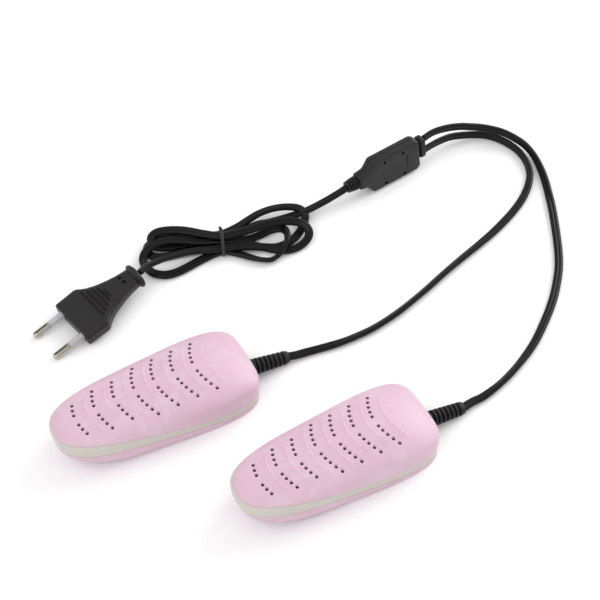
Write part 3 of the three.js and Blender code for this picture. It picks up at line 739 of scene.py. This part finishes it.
def upper_shell():
    start = seam_level(TURNS, BAND_HIGH, SEAM + CHAMFER, 0.0)
    inner = seam_level(TURNS, BAND_HIGH, SEAM, WALL, FLOOR)
    outer = spread(start, 2.0, 190, 0.0)[:-1][::-1]
    inside = spread(inner, 2.0, 26, WALL, FLOOR)[:-1]
    rim = seam_ring(BAND_HIGH, SEAM, CHAMFER)
    top = [(MIDDLE, 0, at(crown, MIDDLE, 0))]
    under = [(MIDDLE, 0, at(dome_height, MIDDLE, 0, WALL))]
    made = capped("upper", top, outer + [rim] + inside, under)
    bosses, cuts = [], []
    for x, y in SCREWS:
        foot = at(sole_height, x) + FLOOR + PAD_HEIGHT
        roof = at(dome_height, x, y) - WALL / 2
        bosses.append(upright_rings([(foot + GAP, BOSS), (roof, BOSS)], x, y))
        cuts.append(upright_rings([(foot - 1, BORE), (foot + 10, BORE)], x, y))
    combine(made, several("bosses", bosses), "UNION")
    for row, count in enumerate(ROW_HOLES):
        for k in range(1, count + 1):
            for side in (-1, 1):
                y = side * k * HOLE_PITCH
                x = ROW_PITCH * (row - MIDDLE_ROW) + ROW_BOW * y * y
                z = at(crown, x, y)
                cuts.append(upright_rings([(z + rise, r) for rise, r in VENT], x, y, 20))
    combine(made, several("cuts", cuts), "DIFFERENCE")
    combine(made, neck_cutter(), "DIFFERENCE")
    soften(made)
    return made


def crown_normals(made):
    """True normals on the domed top, so that the vents' rims don't disturb its shine."""
    mesh = made.data
    count = len(mesh.loops)
    normals = np.empty(count * 3, np.float32)
    mesh.corner_normals.foreach_get("vector", normals)
    normals = normals.reshape(-1, 3)
    vertex = np.empty(count, np.int32)
    mesh.loops.foreach_get("vertex_index", vertex)
    places = np.empty(len(mesh.vertices) * 3, np.float32)
    mesh.vertices.foreach_get("co", places)
    spot = places.reshape(-1, 3)[vertex].astype(float)
    totals = np.empty(len(mesh.polygons), np.int32)
    mesh.polygons.foreach_get("loop_total", totals)
    flats = np.empty(len(mesh.polygons) * 3, np.float32)
    mesh.polygons.foreach_get("normal", flats)
    flat = np.repeat(flats.reshape(-1, 3), totals, axis=0)
    x, y = spot[:, 0], spot[:, 1]
    step = near = 0.05
    slope_x = (crown(x + step, y) - crown(x - step, y)) / (2 * step)
    slope_y = (crown(x, y + step) - crown(x, y - step)) / (2 * step)
    true = np.column_stack([-slope_x, -slope_y, np.ones(count)])
    true /= np.linalg.norm(true, axis=1)[:, None]
    steep, agrees = 0.35, 0.85
    on_top = (np.abs(spot[:, 2] - crown(x, y)) < near) & (true[:, 2] > steep)
    on_top &= (flat * true).sum(1) > agrees
    normals[on_top] = true[on_top]
    mesh.normals_split_custom_set(normals.tolist())


def neck_cutter():
    """The hole in the heel that the boot's neck sits in."""
    return placed_on_boot(turned("neck", [(-8, NECK), (8, NECK)], 32))


def trim_band():
    low_out = seam_level(TURNS, BAND_LOW, SEAM + CHAMFER, BAND_INSET)
    high_out = seam_level(TURNS, BAND_HIGH, -SEAM - CHAMFER, BAND_INSET)
    rings = [seam_ring(BAND_LOW, SEAM, BAND_INSET + CHAMFER)]
    rings += spread(low_out, high_out, 10, BAND_INSET)
    rings += [seam_ring(BAND_HIGH, -SEAM, BAND_INSET + CHAMFER),
              seam_ring(BAND_HIGH, -SEAM, WALL, FLOOR),
              seam_ring(BAND_LOW, SEAM, WALL, FLOOR)]
    made = loft("band", rings, closed=True)
    combine(made, neck_cutter(), "DIFFERENCE")
    soften(made)
    return made


def sole_ring(scale, floor, inset):
    """The sole's edge, scaled towards its middle."""
    angle, radius = outline(TURNS, inset)
    x, y = plan(angle, (radius - tuck(angle, radius)) * scale)
    return np.column_stack([x, y, sole_height(x) + floor])


def lower_shell():
    end = seam_level(TURNS, BAND_LOW, -SEAM - CHAMFER, 0.0)
    inner = seam_level(TURNS, BAND_LOW, -SEAM, WALL, FLOOR)
    rings = [sole_ring(k / 24, 0.0, 0.0) for k in range(1, 24)]
    rings += spread(0.0, end, 34, 0.0)
    rings += [seam_ring(BAND_LOW, -SEAM, CHAMFER)]
    rings += spread(0.0, inner, 10, WALL, FLOOR)[::-1]
    rings += [sole_ring(k / 8, FLOOR, WALL) for k in range(7, 0, -1)]
    made = capped("lower", [(MIDDLE, 0, 0)], rings, [(MIDDLE, 0, FLOOR)])
    pads, bores, heads = [], [], []
    for x, y in SCREWS:
        sole = at(sole_height, x)
        top = sole + FLOOR + PAD_HEIGHT
        pads.append(upright_rings([(sole + 1, PAD), (top, PAD)], x, y))
        bores.append(upright_rings([(sole + 1, BORE), (top + 1, BORE)], x, y))
        heads.append(upright_rings([(sole + rise, r) for rise, r in HEAD_RECESS], x, y, 40))
    combine(made, several("pads", pads), "UNION")
    combine(made, several("bores", bores), "DIFFERENCE")
    combine(made, several("heads", heads), "DIFFERENCE")
    combine(made, neck_cutter(), "DIFFERENCE")
    soften(made)
    return made


# ---- Boots and screws ---------------------------------------------------------------

BOOT_RIBS = 8
BOOT_LENGTH = 23.2
BOOT_START = 1.2
BOOT_PITCH = (BOOT_LENGTH - 1.9) / BOOT_RIBS
BOOT_NECK = [(-5.2, 2.6), (-5.2, 4.9), (-5.0, 5.1), (-3.7, 5.1), (-3.5, 4.9), (-3.5, 3.25),
             (0.35, 3.25), (0.35, 4.4), (0.5, 4.6), (0.9, 4.7)]
BOOT_PLACE = (Matrix.Translation((64.8, -1.7, 7.0))
              @ Matrix.Rotation(math.radians(-2.4), 4, "Z")
              @ Matrix.Rotation(math.radians(9.0), 4, "Y"))


def placed_on_boot(made):
    made.data.transform(BOOT_PLACE)
    return made


def cord_boot(tab):
    """Eight rings on a core, with a deep gap between rings and a cuff at the end.

    A thin plate lies against the heel; tab is how far it reaches towards +Y.
    """
    profile = list(BOOT_NECK)
    for i in range(BOOT_RIBS):
        along = BOOT_START + i * BOOT_PITCH
        radius = 4.62 - 0.85 * i / (BOOT_RIBS - 1)
        core = radius - 1.45 + 0.25 * i / (BOOT_RIBS - 1)
        if i:
            profile += [(along, core), (along + 0.04, radius - 0.2)]
        profile += [(along + 0.2, radius), (along + 1.4, radius), (along + 1.62, radius - 0.2)]
        if i < BOOT_RIBS - 1:
            profile += [(along + 1.66, core)]
    end = BOOT_START + (BOOT_RIBS - 1) * BOOT_PITCH + 1.7
    profile += [(end + 0.1, 3.5), (BOOT_LENGTH - 0.4, 3.4), (BOOT_LENGTH, 3.1)]
    made = turned("boot", profile, 56, 30)
    made.data.transform(Matrix.Diagonal((1, 1, 0.97, 1)))
    placed_on_boot(made)
    plate = slab("plate", rounded([(-5.6, 3.4), (tab, 3.4), (tab, 10.9), (-5.6, 10.9)], 1.6),
                 -0.3, 0.3, 0.12, 0.12)
    plate.data.transform(Matrix.Translation((65.15, 0, 0)) @ Matrix.Rotation(math.pi / 2, 4, "Z"))
    combine(made, plate, "UNION")
    soften(made, 32)
    return made


def screw(x, y):
    """A countersunk cross-head screw, head down in the sole."""
    profile = [(0, 0.6), (0.02, 1.5), (0.18, 2.05), (0.45, 2.4), (1.05, 2.4), (1.15, 2.25),
               (1.2, 1.2)]
    for k in range(12):
        profile += [(1.6 + 0.66 * k, 1.2), (1.83 + 0.66 * k, 0.95), (2.06 + 0.66 * k, 1.2)]
    profile += [(9.8, 0.8), (10, 0.2)]
    made = turned("screw", profile, 32, 30)
    for length, width in ((2.6, 0.42), (0.42, 2.6)):
        combine(made, box(-1, 0.75, -length / 2, length / 2, -width / 2, width / 2),
                "DIFFERENCE")
    soften(made, 30)
    start = at(sole_height, x) + HEAD_DEPTH
    made.data.transform(Matrix.Translation((x, y, start))
                        @ Matrix.Rotation(-math.pi / 2, 4, "Y"))
    return made


# ---- Y joint, standing on its long edge and leaning back ----------------------------

JOINT = (Matrix.Translation((85.5, 182.1, 0.7)) @ Matrix.Rotation(math.radians(34.7), 4, "Z")
         @ Matrix.Rotation(math.radians(-10), 4, "X"))
JOINT_AXIS = 10.8                      # height of the mains lead in the joint
JOINT_THICKNESS = 8
JOINT_GAP = 0.15                       # from the parting plane to each half
MOULD_PINS = [(x, z) for x in (-10.2, 3.0) for z in (17.9, 2.8)]
JOINT_OUTLINE = [(-28, 6.8, 0.8), (-23, 5.8, 2.5), (-18.5, 0.2, 2.5), (12.5, 0.2, 1.5),
                 (14.8, 2.4, 1.5), (14.8, 19.6, 1.6), (12, 21.4, 1.8), (-17.6, 21.4, 2.0),
                 (-21.9, 15.8, 2.5), (-28, 14.8, 0.8)]
INLET_RIBS = 4
INLET_PITCH = 1.55
OUTLET_RIM = [(-3.7, 5.6), (3.7, 5.6), (3.7, 19.2), (-3.7, 19.2)]
OUTLET_STEPS = [(15.1, 1.5), (16.0, 1.5), (16.1, 0.4), (16.3, 0.1), (16.6, 0), (18.7, 0),
                (19.2, 0.2), (19.5, 0.6), (19.65, 1.1)]     # along X, and drawn in


def joint_half(side):
    """The front half is side -1. The back half is its mirror image, side 1."""
    made = slab("half", rounded(JOINT_OUTLINE, 1.6), -JOINT_THICKNESS / 2, -JOINT_GAP, 1.3, 0.2)
    splice_pocket = (-14, 11, -2.2, 0, 4, 17.6)
    mains_channel = (-30, -10, -2, 0, JOINT_AXIS - 2.6, JOINT_AXIS + 2.6)
    branch_channel = (10, 20, -2, 0, 6.4, 18.4)
    outer_groove = (5.35, 5.85, -5, -3.5, 6.9, 15.4)
    for cut in (splice_pocket, mains_channel, branch_channel, outer_groove):
        combine(made, box(*cut), "DIFFERENCE")
    turns = circle(20)
    pins = [[np.column_stack([x + np.cos(turns), np.full(20, y), z + np.sin(turns)])
             for y in (-5, -2.9)] for x, z in MOULD_PINS]
    combine(made, several("pins", pins), "DIFFERENCE")
    soften(made, 34)
    if side > 0:
        made.data.transform(Matrix.Diagonal((1, -1, 1, 1)))
        made.data.flip_normals()
    return placed(made, JOINT)


def joint_inlet():
    """Four rings on a core, where the mains lead goes in."""
    profile = [(-28.3, 2.6), (-28.35, 3.9), (-28.5, 4.1), (-28.9, 4.1), (-28.95, 3.9)]
    for i in range(INLET_RIBS):
        along = -28.98 - INLET_PITCH * i
        radius = 4.15 - 0.2 * i
        core = radius - 1.1
        profile += [(along, core), (along - 0.62, core), (along - 0.64, radius - 0.2),
                    (along - 0.8, radius), (along - 1.3, radius), (along - 1.5, radius - 0.2)]
    profile += [(-35.2, 2.95), (-35.3, 2.7)]
    made = turned("joint_inlet_relief_look", profile, 56, 30)
    made.data.transform(Matrix.Translation((0, 0, JOINT_AXIS)))
    return placed(made, JOINT)


def joint_outlet():
    """A narrow neck, then a rounded collar that the two leads pass through."""
    rim = rounded(OUTLET_RIM, 2.6, 6)
    middle = rim.mean(axis=0)
    rings = []
    for along, drawn in OUTLET_STEPS:
        moved = inward(rim, drawn)
        rings.append(np.column_stack([np.full(len(moved), along), moved[:, 0], moved[:, 1]]))
    rings.append(rings[-1] * (1, 0.5, 1) + (0, 0.5 * middle[0], 0))
    return placed(loft("joint_outlet_grommet_look", rings, sharp=32), JOINT)


# ---- Plug: +X out of the face -------------------------------------------------------

PLUG = (Matrix.Translation((-95.5, 70.2, 5.2)) @ Matrix.Rotation(math.radians(220.7), 4, "Z")
        @ Matrix.Rotation(math.radians(8.6), 4, "Y"))
PIN_SPACING = 18.6

# Half widths and half depths of the body at distances behind its face, and the grooves
# between the ribs: distance, and both ends across the body.
HALF_WIDTHS = [(0, 14.5), (-0.25, 15.0), (-0.8, 15.25), (-6, 15.4), (-12.8, 15.75),
               (-14.0, 15.6), (-15.0, 15.0), (-16.5, 13.7), (-19, 12.0), (-22.6, 10.3),
               (-26, 9.1), (-31, 7.7), (-36, 6.7), (-41, 6.1), (-42.4, 6.1)]
HALF_DEPTHS = [(0, 3.8), (-0.25, 4.2), (-0.8, 4.4), (-13, 4.45), (-24, 4.15), (-42.4, 3.9)]
GROOVES = [(-15.1, -12.2, 10.6), (-17.9, -9.8, 8.8), (-20.6, -8.8, 7.2),
           (-23.2, -7.4, 5.2), (-25.4, -4.4, 3.2)]
GROOVE_DEPTH = 1.0
FLANGE = [(-41.2, 4.4), (-42.1, 5.0), (-42.7, 6.2), (-43.2, 7.0), (-43.8, 7.6), (-44.9, 7.65),
          (-45.6, 7.1), (-46.1, 6.0), (-46.4, 4.6), (-46.7, 3.2)]
DOTS = [(-36.2, -2.8), (-36.5, 0.8)]
SLEEVE_SEAT = [(-6, 2.05), (-0.25, 2.05), (0.4, 2.7)]
SLEEVE = [(-5, 1.3), (-5, 1.95), (8.7, 1.95), (9.0, 1.88), (9.15, 1.7), (9.15, 1.3)]
PIN = [(-5.4, 0.9), (-5.2, 1.2), (9.25, 1.2), (9.27, 1.8), (9.5, 2.02), (17.9, 2.02),
       (18.5, 1.94), (19.1, 1.7), (19.5, 1.25), (19.7, 0.6)]


def along_table(x, table):
    xs, ys = zip(*sorted(table))
    return np.interp(x, xs, ys)


def plug_body():
    stations = np.concatenate([[0, -0.12, -0.3, -0.55, -0.85], np.arange(-1.5, -13.5, -1.2),
                               np.arange(-13.6, -27, -0.22), np.arange(-27, -42.6, -0.8)])
    turns = circle(120)
    rings = []
    for x in stations:
        wide = along_table(x, HALF_WIDTHS)
        deep = along_table(x, HALF_DEPTHS)
        power = 2 / (6.5 + 0.075 * x)
        c, s = np.cos(turns), np.sin(turns)
        y = wide * np.sign(c) * np.abs(c) ** power
        z = deep * np.sign(s) * np.abs(s) ** power
        dip = np.zeros_like(y)
        for spot, far, near in GROOVES:
            reach = smooth((y - far) / 0.8) * smooth((near - y) / 0.8)
            dip += GROOVE_DEPTH * math.exp(-((x - spot) / 0.72) ** 4) * reach
        z = np.where(np.abs(z) > 0.6 * deep, z - np.sign(z) * dip, z)
        rings.append(np.column_stack([np.full(len(y), x), y, z]))
    made = loft("plug_body_look", rings, sharp=40)
    flange = turned("flange", FLANGE, 64)
    flange.data.transform(Matrix.Diagonal((1, 1.06, 0.76, 1)))
    combine(made, flange, "UNION")
    cuts = [level_rings(SLEEVE_SEAT, 32, y) for y in (-PIN_SPACING / 2, PIN_SPACING / 2)]
    cuts += [upright_rings([(2.6, 1.1), (6.0, 1.1)], x, y) for x, y in DOTS]
    combine(made, several("cuts", cuts), "DIFFERENCE")
    soften(made, 36)
    return placed(made, PLUG)


def plug_pin(number, y):
    """A round pin on a thinner shank, with a slot along it."""
    made = turned(f"plug_pin_{number}_look", PIN, 48, 30)
    combine(made, box(10.1, 18.9, -0.5, 0.5, -3, 3), "DIFFERENCE")
    soften(made, 30)
    made.data.transform(Matrix.Translation((0, y, 0)))
    return placed(made, PLUG)


def pin_sleeve(number, y):
    return placed(loft(f"plug_pin_sleeve_{number}_look", level_rings(SLEEVE, 48, y),
                       closed=True), PLUG)


# ---- Assembly -----------------------------------------------------------------------

# Side, place, yaw, and reach of the boot's plate.
DRYERS = [("left", -56.1, 10.66, 28.6, 7.4), ("right", 37.71, -24.22, 30.0, 5.2)]

cords = {}
for side, route, rolls in (("left", LEFT_ROUTE, LEFT_ROLLS), ("right", RIGHT_ROUTE, RIGHT_ROLLS)):
    cords[side] = lead(f"{side}_branch_lead_look", route, rolls)
    finish(cords[side][0], "lead_jacket", f"{side}_branch_lead")
cords["mains"] = lead("mains_lead_look", *mains_route())
finish(cords["mains"][0], "lead_jacket", "mains_lead_plug_end", "mains_lead_joint_end",
       "mains_lead_hank")
tie = finish(twist_tie(), "tie_wire", "twist_tie")

forms = {"upper_shell": (upper_shell(), "pink_shell"), "trim_band": (trim_band(), "cream_band"),
         "lower_shell": (lower_shell(), "pink_shell")}
for number, (x, y) in enumerate(SCREWS, 1):
    forms[f"screw_{number}"] = (screw(x, y), "screw_steel")
crown_normals(forms["upper_shell"][0])
for side, x, y, yaw, tab in DRYERS:
    place = Matrix.Translation((x, y, 0)) @ Matrix.Rotation(math.radians(yaw), 4, "Z")
    for name, (form, slot) in forms.items():
        copy = form.copy()
        copy.data = form.data.copy()
        copy.name = f"{side}_{name}_look"
        bpy.context.scene.collection.objects.link(copy)
        finish(placed(copy, place), slot, f"{side}_{name}")
    boot = cord_boot(tab)
    boot.name = f"{side}_cord_boot_look"
    finish(placed(boot, place), "black_rubber", f"{side}_cord_boot")
for form, _ in forms.values():
    bpy.data.objects.remove(form)

for name, made, slot in (
        ("joint_front_half", joint_half(-1), "black_housing"),
        ("joint_back_half", joint_half(1), "black_housing"),
        ("joint_inlet_relief", joint_inlet(), "black_rubber"),
        ("joint_outlet_grommet", joint_outlet(), "black_rubber")):
    made.name = f"{name}_look"
    finish(made, slot, name)

plug = [finish(plug_body(), "black_housing", "plug_body")]
for number, y in ((1, -PIN_SPACING / 2), (2, PIN_SPACING / 2)):
    plug.append(finish(plug_pin(number, y), "nickel_pin", f"plug_pin_{number}"))
    plug.append(finish(pin_sleeve(number, y), "pin_sleeve", f"plug_pin_sleeve_{number}"))

CARRIED = {"heat_plate_bottom": "heat_plate", "heat_plate_top": "heat_plate",
           "ceramic_heater": "ceramic", "heater_bracket": "mica", "thermal_fuse": "fuse_can",
           "crimp_splice_1": "white_nylon", "crimp_splice_2": "white_nylon",
           "cord_clamp": "white_nylon"}
carried = {f"{side}_{name}": slot for side in ("left", "right")
           for name, slot in CARRIED.items()}
carried.update(joint_splice_1="white_nylon", joint_splice_2="white_nylon")
for name, slot in carried.items():
    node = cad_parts[name]
    node.data.materials.clear()
    node.data.materials.append(FINISHES[slot])

for side in ("left", "right"):
    made, line, length = cords[side]
made, line, length = cords["mains"]

# ---- Floor and light ----------------------------------------------------------------

FLOOR_REACH = 4                        # metres
DAYLIGHT = 0.86
LIGHT_AIM = Vector((0.03, 0.08, 0))

floor = bpy.data.objects.new("floor", bpy.data.meshes.new("floor"))
floor.data.from_pydata([(sx * FLOOR_REACH, sy * FLOOR_REACH, 0)
                        for sx, sy in ((-1, -1), (1, -1), (1, 1), (-1, 1))],
                       [], [(0, 1, 2, 3)])
floor.data.materials.append(material("floor_white", (0.93, 0.93, 0.93), 0.7, tint=0.004,
                                     specular=0.2))
bpy.context.scene.collection.objects.link(floor)

world = bpy.data.worlds.new("studio")
world.use_nodes = True
world.node_tree.nodes["Background"].inputs["Color"].default_value = (1, 1, 1, 1)
world.node_tree.nodes["Background"].inputs["Strength"].default_value = DAYLIGHT
bpy.context.scene.world = world


def area_light(name, place, size, power):
    data = bpy.data.lights.new(name, "AREA")
    data.shape = "RECTANGLE"
    data.size, data.size_y = size
    data.energy = power
    made = bpy.data.objects.new(name, data)
    made.location = place
    direction = LIGHT_AIM - made.location
    made.rotation_euler = direction.to_track_quat("-Z", "Y").to_euler()
    bpy.context.scene.collection.objects.link(made)


area_light("key", (0.95, 0.85, 0.7), (1.0, 0.9), 11)
area_light("front", (-0.8, -0.7, 1.2), (1.8, 1.6), 9)
